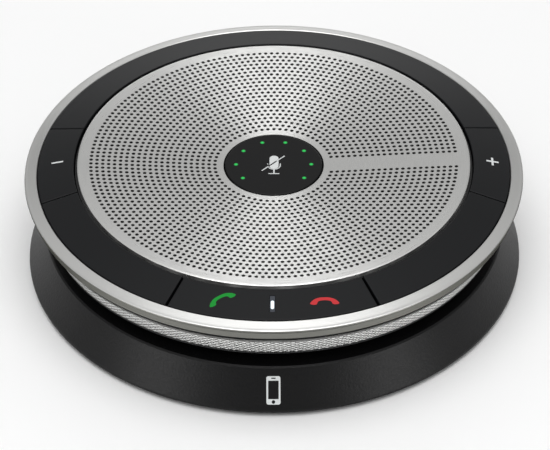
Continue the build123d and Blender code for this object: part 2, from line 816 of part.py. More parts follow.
# ---- Loudspeaker ----
ear_radius = 2.6
basket_outer_foot = 22.4
basket_shoulder = 28.4
basket_seat_inner = 14.2
basket_floor_top = 11.0
window_ring = 25.2
window_size = (6.4, 8.0)
window_count = 6
window_foot = 11.6
window_height = 3.6
with BuildPart() as speaker_basket:
    with BuildSketch(Plane.XZ):
        with BuildLine():
            Polyline(
                (flange_inner, flange_top),
                (flange_radius, flange_top),
                (flange_radius, flange_bottom),
                (basket_shoulder, flange_bottom),
                (basket_outer_foot, basket_floor_top - 0.1),
                (basket_outer_foot, top_plate_top),
                (basket_seat_inner, top_plate_top),
                (basket_seat_inner, basket_floor_top),
                (basket_outer_foot - 0.8, basket_floor_top),
                close=True,
            )
        make_face()
    revolve(axis=Axis.Z)
    with BuildSketch(Plane.XY.offset(flange_bottom)):
        with PolarLocations(speaker_screw_ring, screw_count):
            Circle(ear_radius)
    extrude(amount=flange_top - flange_bottom)
    with BuildSketch(Plane.XY.offset(flange_bottom)):
        with PolarLocations(speaker_screw_ring, screw_count):
            Circle(screw_clear_radius)
    extrude(amount=flange_top - flange_bottom, mode=Mode.SUBTRACT)
    with BuildSketch(Plane.XY.offset(window_foot)):
        with PolarLocations(window_ring, window_count, start_angle=180 / window_count):
            Rectangle(*window_size)
    extrude(amount=window_height, mode=Mode.SUBTRACT)
speaker_basket.part.label = "speaker_basket"
export_step(speaker_basket.part, "parts/speaker_basket.step")

gasket_inner = housing_inner + 0.2
with BuildPart() as speaker_gasket:
    with BuildSketch(Plane.XY.offset(deck_top)):
        Circle(flange_radius)
        Circle(gasket_inner, mode=Mode.SUBTRACT)
        with PolarLocations(speaker_screw_ring, screw_count):
            Circle(ear_radius)
        with PolarLocations(speaker_screw_ring, screw_count):
            Circle(screw_clear_radius, mode=Mode.SUBTRACT)
    extrude(amount=flange_bottom - deck_top)
speaker_gasket.part.label = "speaker_gasket"
export_step(speaker_gasket.part, "parts/speaker_gasket.step")

speaker_screw_tip = groove_top + 0.2
with BuildPart() as speaker_screws:
    with BuildSketch(Plane.XY.offset(flange_top)):
        with PolarLocations(speaker_screw_ring, screw_count):
            Circle(top_screw_head)
    extrude(amount=top_screw_head_height)
    with BuildSketch(Plane.XY.offset(speaker_screw_tip)):
        with PolarLocations(speaker_screw_ring, screw_count):
            Circle(screw_shank_radius)
    extrude(amount=flange_top - speaker_screw_tip)
    with BuildSketch(Plane.XY.offset(flange_top + top_screw_head_height)):
        with PolarLocations(speaker_screw_ring, screw_count):
            Rectangle(small_cross_length, small_cross_width)
            Rectangle(small_cross_width, small_cross_length)
    extrude(amount=-recess_depth, mode=Mode.SUBTRACT)
speaker_screws.part.label = "speaker_screws"
export_step(speaker_screws.part, "parts/speaker_screws.step")

top_plate_radius = 21.0
magnet_radius = 21.6
magnet_bore = 11.2
yoke_radius = 20.6
with BuildPart() as speaker_top_plate:
    with BuildSketch(Plane.XY.offset(top_plate_bottom)):
        Circle(top_plate_radius)
        Circle(gap_outer, mode=Mode.SUBTRACT)
    extrude(amount=top_plate_top - top_plate_bottom)
speaker_top_plate.part.label = "speaker_top_plate"
export_step(speaker_top_plate.part, "parts/speaker_top_plate.step")

with BuildPart() as speaker_magnet:
    with BuildSketch(Plane.XY.offset(magnet_bottom)):
        Circle(magnet_radius)
        Circle(magnet_bore, mode=Mode.SUBTRACT)
    extrude(amount=top_plate_bottom - magnet_bottom)
speaker_magnet.part.label = "speaker_magnet"
export_step(speaker_magnet.part, "parts/speaker_magnet.step")

with BuildPart() as speaker_yoke:
    with BuildSketch(Plane.XY.offset(yoke_bottom)):
        Circle(yoke_radius)
    extrude(amount=magnet_bottom - yoke_bottom)
    with BuildSketch(Plane.XY.offset(magnet_bottom)):
        Circle(gap_inner)
    extrude(amount=top_plate_top - magnet_bottom)
speaker_yoke.part.label = "speaker_yoke"
export_step(speaker_yoke.part, "parts/speaker_yoke.step")

coil_inner = 8.8
coil_outer = 9.4
coil_bottom = 7.6
coil_top = 12.4
glue_gap = 0.02
with BuildPart() as voice_coil:
    with BuildSketch(Plane.XY.offset(coil_bottom)):
        Circle(coil_outer)
        Circle(coil_inner, mode=Mode.SUBTRACT)
    extrude(amount=coil_top - coil_bottom)
voice_coil.part.label = "voice_coil"
export_step(voice_coil.part, "parts/voice_coil.step")

spider_bottom = 11.4
spider_top = 11.7
spider_foot = 11.02
spider_foot_inner = 19.6
spider_outer = 20.8
with BuildPart() as spider:
    with BuildSketch(Plane.XZ):
        with BuildLine():
            Polyline(
                (coil_outer + glue_gap, spider_bottom),
                (spider_foot_inner, spider_bottom),
                (spider_foot_inner, spider_foot),
                (spider_outer, spider_foot),
                (spider_outer, spider_top),
                (coil_outer + glue_gap, spider_top),
                close=True,
            )
        make_face()
    revolve(axis=Axis.Z)
spider.part.label = "spider"
export_step(spider.part, "parts/spider.step")

cone_outer = 25.1
cone_edge_width = 0.7
cone_edge_bottom = 16.5
cone_edge_top = 17.1
cone_neck_bottom = 12.1
cone_neck_top = 12.6
with BuildPart() as speaker_cone:
    with BuildSketch(Plane.XZ):
        with BuildLine():
            Polyline(
                (coil_outer + glue_gap, cone_neck_bottom),
                (cone_outer, cone_edge_bottom),
                (cone_outer, cone_edge_top),
                (cone_outer - cone_edge_width, cone_edge_top),
                (coil_outer + glue_gap, cone_neck_top),
                close=True,
            )
        make_face()
    revolve(axis=Axis.Z)
speaker_cone.part.label = "speaker_cone"
export_step(speaker_cone.part, "parts/speaker_cone.step")

cap_radius = 10.0
cap_crown = 14.65
cap_sphere = 34.0
cap_sheet = 0.3


def cap_height(radius, sphere):
    """Height on the dust cap's sphere, or on its inner one, at a radius."""
    return cap_crown - cap_sphere + (sphere**2 - radius**2) ** 0.5


cap_inside = cap_sphere - cap_sheet
cap_edge_outside = (cap_radius, cap_height(cap_radius, cap_sphere))
cap_edge_inside = (cap_radius, cap_height(cap_radius, cap_inside))
cap_crown_outside = (0, cap_height(0, cap_sphere))
cap_crown_inside = (0, cap_height(0, cap_inside))
with BuildPart() as dust_cap:
    with BuildSketch(Plane.XZ):
        with BuildLine():
            ThreePointArc(
                cap_crown_outside,
                (cap_radius / 2, cap_height(cap_radius / 2, cap_sphere)),
                cap_edge_outside,
            )
            Line(cap_edge_outside, cap_edge_inside)
            ThreePointArc(
                cap_edge_inside,
                (cap_radius / 2, cap_height(cap_radius / 2, cap_inside)),
                cap_crown_inside,
            )
            Line(cap_crown_inside, cap_crown_outside)
        make_face()
    revolve(axis=Axis.Z)
dust_cap.part.label = "dust_cap"
export_step(dust_cap.part, "parts/dust_cap.step")

roll_inner = 25.5
roll_outer = 28.7
roll_middle = (roll_inner + roll_outer) / 2
roll_sheet = 0.4
roll_crown = 18.7
roll_base = 17.5
roll_foot = 17.15
surround_inner = 24.5
surround_outer = 30.6
with BuildPart() as surround:
    with BuildSketch(Plane.XZ):
        with BuildLine():
            Polyline(
                (roll_inner, roll_base),
                (surround_inner, roll_base),
                (surround_inner, roll_foot),
                (roll_inner + roll_sheet, roll_foot),
            )
            ThreePointArc(
                (roll_inner + roll_sheet, roll_foot),
                (roll_middle, roll_crown - roll_sheet),
                (roll_outer - roll_sheet, roll_foot),
            )
            Polyline(
                (roll_outer - roll_sheet, roll_foot),
                (surround_outer, roll_foot),
                (surround_outer, roll_base),
                (roll_outer, roll_base),
            )
            ThreePointArc((roll_outer, roll_base), (roll_middle, roll_crown), (roll_inner, roll_base))
        make_face()
    revolve(axis=Axis.Z)
surround.part.label = "surround"
export_step(surround.part, "parts/surround.step")

# ---- Main board around the magnet ----
with BuildPart() as main_pcb:
    with BuildSketch(Plane.XY.offset(board_bottom)):
        Circle(board_outer)
        Circle(board_inner, mode=Mode.SUBTRACT)
    extrude(amount=board_top - board_bottom)
main_pcb.part.label = "main_pcb"
export_step(main_pcb.part, "parts/main_pcb.step")

chip_layout = [(8.0, 200.0), (6.0, 245.0), (5.0, 300.0), (5.0, 335.0), (4.0, 20.0)]  # side, angle
chip_ring = 29.6
chip_height = 1.0
with BuildPart() as board_chips:
    with BuildSketch(Plane.XY.offset(board_top)):
        for side, angle in chip_layout:
            with Locations(Location((*polar_point(chip_ring, angle), 0), (0, 0, angle))):
                Rectangle(side, side)
    extrude(amount=chip_height)
board_chips.part.label = "board_chips"
export_step(board_chips.part, "parts/board_chips.step")

capacitor_angles = [45.0, 60.0, 150.0]
capacitor_ring = 30.0
capacitor_radius = 2.5
capacitor_height = 4.4
capacitor_round = 0.4
with BuildPart() as board_capacitors:
    with BuildSketch(Plane.XY.offset(board_top)):
        for angle in capacitor_angles:
            with Locations(polar_point(capacitor_ring, angle)):
                Circle(capacitor_radius)
    extrude(amount=capacitor_height)
    fillet(board_capacitors.faces().group_by(Axis.Z)[-1].edges(), radius=capacitor_round)
board_capacitors.part.label = "board_capacitors"
export_step(board_capacitors.part, "parts/board_capacitors.step")

header_place = polar_point(29.8, 105.0)
header_size = (8.0, 4.0)
header_wall = 0.5
header_floor = 1.0
header_height = 3.4
with BuildPart() as cable_header:
    with BuildSketch(Plane.XY.offset(board_top)):
        with Locations(header_place):
            Rectangle(*header_size)
    extrude(amount=header_height)
    with BuildSketch(Plane.XY.offset(board_top + header_floor)):
        with Locations(header_place):
            Rectangle(header_size[0] - 2 * header_wall, header_size[1] - 2 * header_wall)
    extrude(amount=header_height - header_floor, mode=Mode.SUBTRACT)
cable_header.part.label = "cable_header"
export_step(cable_header.part, "parts/cable_header.step")
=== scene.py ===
import json
import math

import bpy
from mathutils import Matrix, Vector
from mathutils.geometry import delaunay_2d_cdt


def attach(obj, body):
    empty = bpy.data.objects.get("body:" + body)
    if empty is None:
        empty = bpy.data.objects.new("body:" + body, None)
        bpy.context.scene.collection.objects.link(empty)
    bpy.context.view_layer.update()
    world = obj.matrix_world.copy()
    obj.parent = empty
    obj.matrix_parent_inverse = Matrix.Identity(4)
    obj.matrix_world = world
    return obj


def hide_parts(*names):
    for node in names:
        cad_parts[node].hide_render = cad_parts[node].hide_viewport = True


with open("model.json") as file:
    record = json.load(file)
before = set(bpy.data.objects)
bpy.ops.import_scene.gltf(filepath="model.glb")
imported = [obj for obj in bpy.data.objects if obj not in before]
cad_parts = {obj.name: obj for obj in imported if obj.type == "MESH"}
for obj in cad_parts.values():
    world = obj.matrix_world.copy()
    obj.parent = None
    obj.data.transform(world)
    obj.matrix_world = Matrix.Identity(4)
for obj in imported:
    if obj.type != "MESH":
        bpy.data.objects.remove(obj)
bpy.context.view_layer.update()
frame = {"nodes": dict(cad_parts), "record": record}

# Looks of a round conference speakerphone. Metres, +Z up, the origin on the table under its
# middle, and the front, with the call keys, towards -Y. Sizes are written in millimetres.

MM = 0.001
nodes = frame["nodes"]

# ---- Sizes the looks share with the model ----
GRILLE_RADIUS = 43.2
BUTTON_HOLE_RADIUS = 11.08
GRILLE_SHEET = 0.27
GRILLE_FLANGE_FOOT = 22.2
RING_SLOPE = 0.2056
TOP_HEIGHT = 26.0
BUTTON_TOP = 24.42
SKIRT_RADIUS = 55.15
SKIRT_FOOT = 1.7
SKIRT_SLOPE = 0.479
BAND_FOOT = (50.55, 14.0)
BAND_TOP = (53.3, 19.65)
LED_RING_RADIUS = 8.3
LED_STEP = 36.0
STATUS_LIT_Y = (-48.75, -47.32)  # the lit length of the status light, front to back
PRINT_THICKNESS = 0.02


def dish(radius):
    """Height of the grille's top surface at a radius."""
    inward = GRILLE_RADIUS - radius
    return TOP_HEIGHT - 0.0495 * inward - 0.00013 * inward**2


def ring_top(radius):
    """Height of the sloping key ring's top surface at a radius."""
    return TOP_HEIGHT - RING_SLOPE * (radius - GRILLE_RADIUS)


# ---- Shader building ----


def linear(hex_text):
    """An sRGB hex colour, turned to the linear values that shaders work in."""
    parts = [int(hex_text[i : i + 2], 16) / 255 for i in (1, 3, 5)]
    return [c / 12.92 if c <= 0.04045 else ((c + 0.055) / 1.055) ** 2.4 for c in parts] + [1.0]


def fill(tree, target, inputs):
    """Sets a node's inputs: a socket is linked, a plain value goes on the input itself."""
    for name, value in inputs.items():
        if isinstance(value, bpy.types.NodeSocket):
            tree.links.new(value, target.inputs[name])
        else:
            target.inputs[name].default_value = value
    return target


def add(tree, kind, inputs, **settings):
    """Adds a shader node of a kind, with its settings, and fills its inputs."""
    made = tree.nodes.new("ShaderNode" + kind)
    for name, value in settings.items():
        setattr(made, name, value)
    return fill(tree, made, inputs)


def finish(name, colour, **inputs):
    """A material with one main shader of that colour; gives the material, its tree and shader."""
    material = bpy.data.materials.new(name)
    material.use_nodes = True
    tree = material.node_tree
    shader = tree.nodes["Principled BSDF"]
    fill(tree, shader, {"Base Color": linear(colour), **inputs})
    return material, tree, shader


def moulded(name, colour, roughness, grain=0.25, depth=0.01, mottle=0.0):
    """Moulded plastic or rubber, whose gloss the mould's grain, in mm across and deep, breaks up."""
    material, tree, shader = finish(name, colour, Roughness=roughness)
    place = add(tree, "TexCoord", {}).outputs["Object"]
    pits = add(tree, "TexNoise", {"Vector": place, "Scale": 1 / (grain * MM), "Detail": 3.0})
    bump = add(
        tree, "Bump", {"Height": pits.outputs["Fac"], "Strength": 0.5, "Distance": depth * MM}
    )
    fill(tree, shader, {"Normal": bump.outputs["Normal"]})
    if mottle:
        spread = add(
            tree,
            "MapRange",
            {"Value": pits.outputs["Fac"], 3: roughness - mottle, 4: roughness + mottle},
        )
        fill(tree, shader, {"Roughness": spread.outputs["Result"]})
    return material


def soft_touch(name, colour, roughness, grain, depth, mottle, gloss=0.2):
    """A dry, soft coat or film, which reflects less than bare plastic, whose gloss is 0.5."""
    material = moulded(name, colour, roughness, grain, depth, mottle)
    shader = material.node_tree.nodes["Principled BSDF"]
    fill(material.node_tree, shader, {"Specular IOR Level": gloss})
    return material


def circular_place(tree, line_width, stroke):
    """A place that runs around the axis: fine across the radius, drawn out along the circle.
    line_width is in mm; stroke is how many times longer a scratch is than it is wide."""
    place = add(tree, "TexCoord", {}).outputs["Object"]
    flat = add(tree, "VectorMath", {0: place, 1: (1, 1, 0)}, operation="MULTIPLY").outputs[0]
    radius = add(tree, "VectorMath", {0: flat}, operation="LENGTH").outputs["Value"]
    fine = add(tree, "Math", {0: radius, 1: 1 / (line_width * MM)}, operation="MULTIPLY")
    around = add(tree, "VectorMath", {0: flat}, operation="NORMALIZE").outputs[0]
    long_way = add(tree, "VectorMath", {0: around, "Scale": stroke}, operation="SCALE").outputs[0]
    across = add(tree, "CombineXYZ", {"Z": fine.outputs[0]}).outputs[0]
    return add(tree, "VectorMath", {0: long_way, 1: across}, operation="ADD").outputs[0]


def turned_metal(name, colour, roughness, stretch, line_width, streak, edge="#FFFFFF"):
    """Metal brushed in circles around the axis: fine scratches run round, so a light is drawn
    out into a bright fan that crosses them. streak is how far scratches vary the roughness and
    edge is what is left of the reflection when it is seen at a glancing angle."""
    material, tree, shader = finish(name, colour, Metallic=1.0, Anisotropic=stretch)
    fill(tree, shader, {"Specular Tint": linear(edge)})
    scratch_place = circular_place(tree, line_width, 9.0)
    scratches = add(tree, "TexNoise", {"Vector": scratch_place, "Scale": 1.0, "Detail": 2.0})
    spread = add(
        tree,
        "MapRange",
        {
            "Value": scratches.outputs["Fac"],
            1: 0.3,
            2: 0.7,
            3: roughness - streak,
            4: roughness + streak,
        },
    )
    around = add(tree, "Tangent", {}, direction_type="RADIAL", axis="Z")
    bump = add(
        tree, "Bump", {"Height": scratches.outputs["Fac"], "Strength": 0.3, "Distance": 0.003 * MM}
    )
    fill(
        tree,
        shader,
        {
            "Roughness": spread.outputs["Result"],
            "Tangent": around.outputs["Tangent"],
            "Anisotropic Rotation": 0.25,
            "Normal": bump.outputs["Normal"],
        },
    )
    return material


def plain_metal(name, colour, roughness, grain=0.3, depth=0.004, edge="#FFFFFF"):
    """Plated, cast or drawn metal with a faint even unevenness."""
    material = moulded(name, colour, roughness, grain, depth, mottle=0.06)
    shader = material.node_tree.nodes["Principled BSDF"]
    fill(material.node_tree, shader, {"Metallic": 1.0, "Specular Tint": linear(edge)})
    return material


def woven(name, colour, thread):
    """Cloth of fine threads, thread in mm: rows of rounded threads each way, and no gloss."""
    material, tree, shader = finish(name, colour, Roughness=0.9)
    fill(tree, shader, {"Sheen Weight": 0.15, "Sheen Roughness": 0.4})
    place = add(tree, "TexCoord", {}).outputs["Object"]
    rows = [
        add(
            tree,
            "TexWave",
            {"Vector": place, "Scale": 1 / (thread * MM * 6.3)},
            wave_type="BANDS",
            bands_direction=axis,
        ).outputs["Fac"]
        for axis in "XY"
    ]
    weave = add(tree, "Math", {0: rows[0], 1: rows[1]}, operation="MAXIMUM").outputs[0]
    bump = add(tree, "Bump", {"Height": weave, "Strength": 0.6, "Distance": thread * MM * 0.3})
    fill(tree, shader, {"Normal": bump.outputs["Normal"]})
    return material


def glow_from(tree, shader, distance, full, reach, core, edge, strength):
    """Light that is core-coloured up to the distance full, and fades to the edge colour at reach."""
    fade = add(
        tree,
        "MapRange",
        {"Value": distance, 1: full, 2: reach, 3: 1.0, 4: 0.0},
        interpolation_type="SMOOTHSTEP",
    ).outputs["Result"]
    colour = add(
        tree, "Mix", {0: fade, 6: linear(edge), 7: linear(core)}, data_type="RGBA"
    ).outputs[2]
    fill(tree, shader, {"Emission Color": colour, "Emission Strength": strength})


def green_guides():
    """The mute button's eight lit windows."""
    material, tree, shader = finish("lit_green_guide", "#0B2A14", Roughness=0.25)
    place = add(tree, "TexCoord", {}).outputs["Object"]
    flat = add(tree, "VectorMath", {0: place, 1: (1, 1, 0)}, operation="MULTIPLY").outputs[0]
    # Folding the circle into one 36 degree step brings every window onto the same spot.
    axes = add(tree, "SeparateXYZ", {"Vector": flat})
    angle = add(tree, "Math", {0: axes.outputs["Y"], 1: axes.outputs["X"]}, operation="ARCTAN2")
    half = math.radians(LED_STEP / 2)
    fold = add(tree, "Math", {0: angle.outputs[0], 1: -half, 2: half}, operation="WRAP").outputs[0]
    turn = add(tree, "CombineXYZ", {"Z": fold}).outputs[0]
    radius = add(tree, "VectorMath", {0: flat}, operation="LENGTH").outputs["Value"]
    outward = add(tree, "CombineXYZ", {"X": radius}).outputs[0]
    spot = add(
        tree, "VectorRotate", {"Vector": outward, "Rotation": turn}, rotation_type="EULER_XYZ"
    ).outputs[0]
    centre = (LED_RING_RADIUS * MM, 0, 0)
    distance = add(tree, "VectorMath", {0: spot, 1: centre}, operation="DISTANCE").outputs["Value"]
    glow_from(tree, shader, distance, 0.05 * MM, 0.62 * MM, "#18E060", "#02400F", 0.9)
    return material


def status_guide():
    """The status light's clear bar: a small lamp lights a short length in its middle, cool
    white, and the ends stay smoky."""
    material, tree, shader = finish("lit_status_guide", "#30343C", Roughness=0.2)
    place = add(tree, "TexCoord", {}).outputs["Object"]
    axes = add(tree, "SeparateXYZ", {"Vector": place})
    front, back = [y * MM for y in STATUS_LIT_Y]
    along = add(tree, "Clamp", {0: axes.outputs["Y"], 1: front, 2: back}).outputs[0]
    centre = add(tree, "CombineXYZ", {"Y": along}).outputs[0]
    flat = add(tree, "VectorMath", {0: place, 1: (1, 1, 0)}, operation="MULTIPLY").outputs[0]
    distance = add(tree, "VectorMath", {0: flat, 1: centre}, operation="DISTANCE").outputs["Value"]
    glow_from(tree, shader, distance, 0.22 * MM, 0.44 * MM, "#EAF8FF", "#07090C", 1.4)
    return material


# ---- Materials, each from what the real piece is made of ----

FINISHES = {
    # Aluminium sheet, punched and then brushed on a turntable: long fans of light.
    "brushed_grille": turned_metal("circular_brushed_aluminium", "#EDEDEB", 0.36, 0.85, 0.16, 0.1),
    # Turned and satin anodised aluminium: the same fans, softer, with only faint lines.
    "silver_rim": turned_metal("satin_anodised_aluminium", "#DCDCDA", 0.36, 0.6, 0.25, 0.07),
    # Woven wire, pressed flat and plated: bright knuckles with dark gaps between. The dark edge
    # tint is no property of the plating: it keeps the pale table from showing in the band's ends.
    "silver_mesh": plain_metal("plated_wire_mesh", "#EEEEEC", 0.3, 0.2, 0.004, edge="#505050"),
    # ABS with a silky mould finish: broad faint sheen, slightly cool.
    "key_gray": soft_touch("soft_touch_key_plastic", "#0E0F11", 0.42, 0.18, 0.004, 0.03),
    # ABS from a spark-eroded mould: a dry, finely pitted black. Pits drawn at 0.5 mm, about
    # three times the real size, so that they show.
    "base_black": soft_touch("pitted_base_plastic", "#0B0B0C", 0.42, 0.5, 0.09, 0.08, 0.25),
    # Plain inner mouldings, matte black.
    "housing_black": moulded("plain_black_plastic", "#0B0B0C", 0.6, 0.3, 0.01),
    # The button is moulded with a smoother face than the base.
    "button_black": soft_touch("satin_button_plastic", "#0B0B0C", 0.42, 0.15, 0.003, 0.03),
    # Dry moulded rubber: almost no gloss.
    "black_rubber": moulded("moulded_rubber", "#161617", 0.78, 0.4, 0.015),
    # Milky silicone: light goes a little way in.
    "silicone": moulded("milky_silicone", "#A8ACB0", 0.5, 0.3, 0.005),
    # Acoustic cloth, threads drawn at 0.15 mm.
    "grille_cloth": woven("acoustic_cloth", "#060606", 0.15),
    # Bright zinc plate, slightly cloudy.
    "steel": plain_metal("zinc_plated_steel", "#C4C5C6", 0.34, 0.8, 0.003),
    # Sintered and ground ferrite: a dull dark gray stone.
    "ferrite": moulded("ground_ferrite", "#2A2B2C", 0.55, 0.5, 0.01, 0.08),
    # Enamelled copper wire, wound in rings up the coil.
    "copper_coil": plain_metal("enamelled_copper", "#D08A5A", 0.28, 0.2, 0.01),
    # Pressed paper pulp with short fibres.
    "cone_paper": moulded("pressed_paper_pulp", "#1D1C1B", 0.85, 0.5, 0.03, 0.05),
    # Glass-epoxy board under green solder mask: glassy green.
    "board_green": moulded("green_solder_mask", "#0F5A2C", 0.3, 1.2, 0.004),
    # Epoxy chip bodies: fine matte black.
    "part_black": moulded("epoxy_part", "#1A1A1B", 0.55, 0.1, 0.006),
    # Nylon connector shells and lamp bodies: ivory.
    "part_pale": moulded("ivory_nylon", "#D9D4C2", 0.45, 0.3, 0.004),
    # Polyimide film: glossy amber.
    "flex_amber": moulded("polyimide_film", "#9A5A12", 0.25, 0.6, 0.003),
    # Drawn aluminium cans.
    "capsule_metal": plain_metal("drawn_aluminium_can", "#CACBCB", 0.3, 0.3, 0.003),
    "green_window": green_guides(),
    "white_window": status_guide(),
}

# The rim's upright side is a darker, duller copy of the rim's metal: its darker colour is painted
# shade, and it reads as a gray band under the bead. Its dark edge tint is painted shade too, there
# for the same reason as the mesh's.
RIM_SIDE_PAINTED_SHADE = turned_metal("rim_side_painted_shade", "#84847F", 0.42, 0.5, 0.12, 0.04, edge="#1C1C1C")
# Punched edges of the grille holes are torn, not brushed: duller than the face.
PUNCHED_EDGE = plain_metal("punched_edge", "#C4C4C2", 0.5, 0.1, 0.004)

for part in frame["record"]["subparts"]:
    shown = nodes[part["node"]]
    shown.data.materials.clear()
    shown.data.materials.append(FINISHES[part["material_slot"]])


def printed_ink(name, colour):
    """Pad-printed ink: a thin, even, slightly satin film."""
    return soft_touch(name, colour, 0.45, 0.12, 0.003, 0.0)


WHITE_INK = printed_ink("white_ink", "#D4D7D7")
GREEN_INK = printed_ink("green_ink", "#088C2C")
RED_INK = printed_ink("red_ink", "#C23034")

# ---- Mesh making ----


def make_piece(name, points, faces, material, sharp_angle):
    """A mesh piece from points in mm; edges sharper than the angle in degrees stay crisp."""
    mesh = bpy.data.meshes.new(name)
    mesh.from_pydata([[c * MM for c in p] for p in points], [], faces)
    mesh.validate()
    mesh.shade_smooth()
    mesh.set_sharp_from_angle(angle=math.radians(sharp_angle))
    mesh.materials.append(material)
    piece = bpy.data.objects.new(name, mesh)
    bpy.context.scene.collection.objects.link(piece)
    return piece


def sheet_of(outlines, holes, spots, place, top, bottom):
    """Points and faces of a thin sheet: flat outlines, less their holes, filled with triangles
    and then laid in place. Spots are extra points that let it bend with the surface.
    place(u, v, lift) gives the point in mm that is lift above the surface."""
    flat, loops = [], []
    for outline in outlines + holes:
        loops.append(range(len(flat), len(flat) + len(outline)))
        flat += outline
    vectors = [Vector(p) for p in flat + spots]
    result = delaunay_2d_cdt(vectors, [], loops, 2 if holes else 1, 1e-5)
    spread, triangles = result[0], result[2]
    points = [place(p.x, p.y, lift) for lift in (top, bottom) for p in spread]
    count = len(spread)
    faces = [list(t) for t in triangles]
    faces += [[i + count for i in reversed(t)] for t in triangles]
    sides = {}
    for t in triangles:
        for a, b in zip(t, list(t[1:]) + [t[0]]):
            sides[(a, b)] = sides.get((a, b), 0) + 1
    faces += [[b, a, a + count, b + count] for a, b in sides if (b, a) not in sides]
    return points, faces


def circle_points(radius, count, centre=(0.0, 0.0), turn=0.0):
    """Points around a circle."""
    steps = [turn + 2 * math.pi * k / count for k in range(count)]
    return [(centre[0] + radius * math.cos(a), centre[1] + radius * math.sin(a)) for a in steps]


def arc_band(centre, inner, outer, start, end, count=16):
    """A part of a ring as an outline, from one angle to the other in degrees."""
    steps = [math.radians(start + (end - start) * k / count) for k in range(count + 1)]
    out = [(centre[0] + outer * math.cos(a), centre[1] + outer * math.sin(a)) for a in steps]
    back = [(centre[0] + inner * math.cos(a), centre[1] + inner * math.sin(a)) for a in steps]
    return out + back[::-1]


def bar(start, end, width):
    """A straight bar between two points, as an outline."""
    along = (Vector(end) - Vector(start)).normalized() * width / 2
    side = Vector((-along.y, along.x))
    corners = [Vector(start) - side, Vector(end) - side, Vector(end) + side, Vector(start) + side]
    return [tuple(c) for c in corners]


def rounded_box(width, height, corner, centre=(0.0, 0.0), count=6):
    """A rectangle with rounded corners, as an outline."""
    outline = []
    for k, (sx, sy) in enumerate([(1, 1), (-1, 1), (-1, -1), (1, -1)]):
        cx = centre[0] + sx * (width / 2 - corner)
        cy = centre[1] + sy * (height / 2 - corner)
        for step in range(count + 1):
            angle = math.pi / 2 * (k + step / count)
            outline.append((cx + corner * math.cos(angle), cy + corner * math.sin(angle)))
    return outline


def softened(outline, rounds=2):
    """The outline with its corners cut again and again, so that they run round."""
    for _ in range(rounds):
        cut = []
        for a, b in zip(outline, outline[1:] + outline[:1]):
            cut.append((0.75 * a[0] + 0.25 * b[0], 0.75 * a[1] + 0.25 * b[1]))
            cut.append((0.25 * a[0] + 0.75 * b[0], 0.25 * a[1] + 0.75 * b[1]))
        outline = cut
    return outline


def moved(outline, turn, to):
    """The outline turned by an angle in degrees about its origin, and moved."""
    c, s = math.cos(math.radians(turn)), math.sin(math.radians(turn))
    return [(to[0] + c * x - s * y, to[1] + s * x + c * y) for x, y in outline]


def cut_by_line(outline, normal, offset):
    """The part of a rounded outline that is past offset along normal."""
    depth = [p[0] * normal[0] + p[1] * normal[1] - offset for p in outline]
    kept = []
    for k, here in enumerate(outline):
        after = outline[(k + 1) % len(outline)]
        d0, d1 = depth[k], depth[(k + 1) % len(outline)]
        if d0 >= 0:
            kept.append(here)
        if (d0 >= 0) != (d1 >= 0):
            t = d0 / (d0 - d1)
            kept.append((here[0] + t * (after[0] - here[0]), here[1] + t * (after[1] - here[1])))
    return kept


# ---- Grille: a thin dished sheet with rings of round holes ----

HOLE_RING_STEP = 1.297
FIRST_HOLE_RING = 10
LAST_HOLE_RING = 31
HOLE_RADIUS = 0.42
HOLE_SIDES = 10
PLAIN_STRIP_HALF_ROWS = 1
EDGE_STEPS = 240
EDGE_ROUND = 0.45  # width of the rounding at the outer edge
EDGE_FALL = 0.11  # how far the rounding has dropped where the flange begins
BEND_RINGS = (12.2, 41.4, 42.2, 42.7, 42.9, 43.06)  # extra rings that let the sheet bend
LAST_HOLE_EDGE = 42.0


def grille_holes():
    """Centres of the holes: six more in each ring than in the one inside it. A plain strip
    stays clear of holes on the right, between the button and the edge."""
    centres = []
    for ring in range(FIRST_HOLE_RING, LAST_HOLE_RING + 1):
        radius = HOLE_RING_STEP * ring
        for k in range(6 * ring):
            nearest = min(k, 6 * ring - k)
            if nearest <= PLAIN_STRIP_HALF_ROWS:
                continue
            angle = 2 * math.pi * k / (6 * ring)
            centres.append((radius * math.cos(angle), radius * math.sin(angle), angle))
    return centres


def on_dish(u, v, lift):
    """A point of the dished grille, with its outer edge rounded down."""
    radius = math.hypot(u, v)
    over = max(0.0, radius - (GRILLE_RADIUS - EDGE_ROUND))
    return (u, v, dish(radius) + lift - 0.55 * over**2)


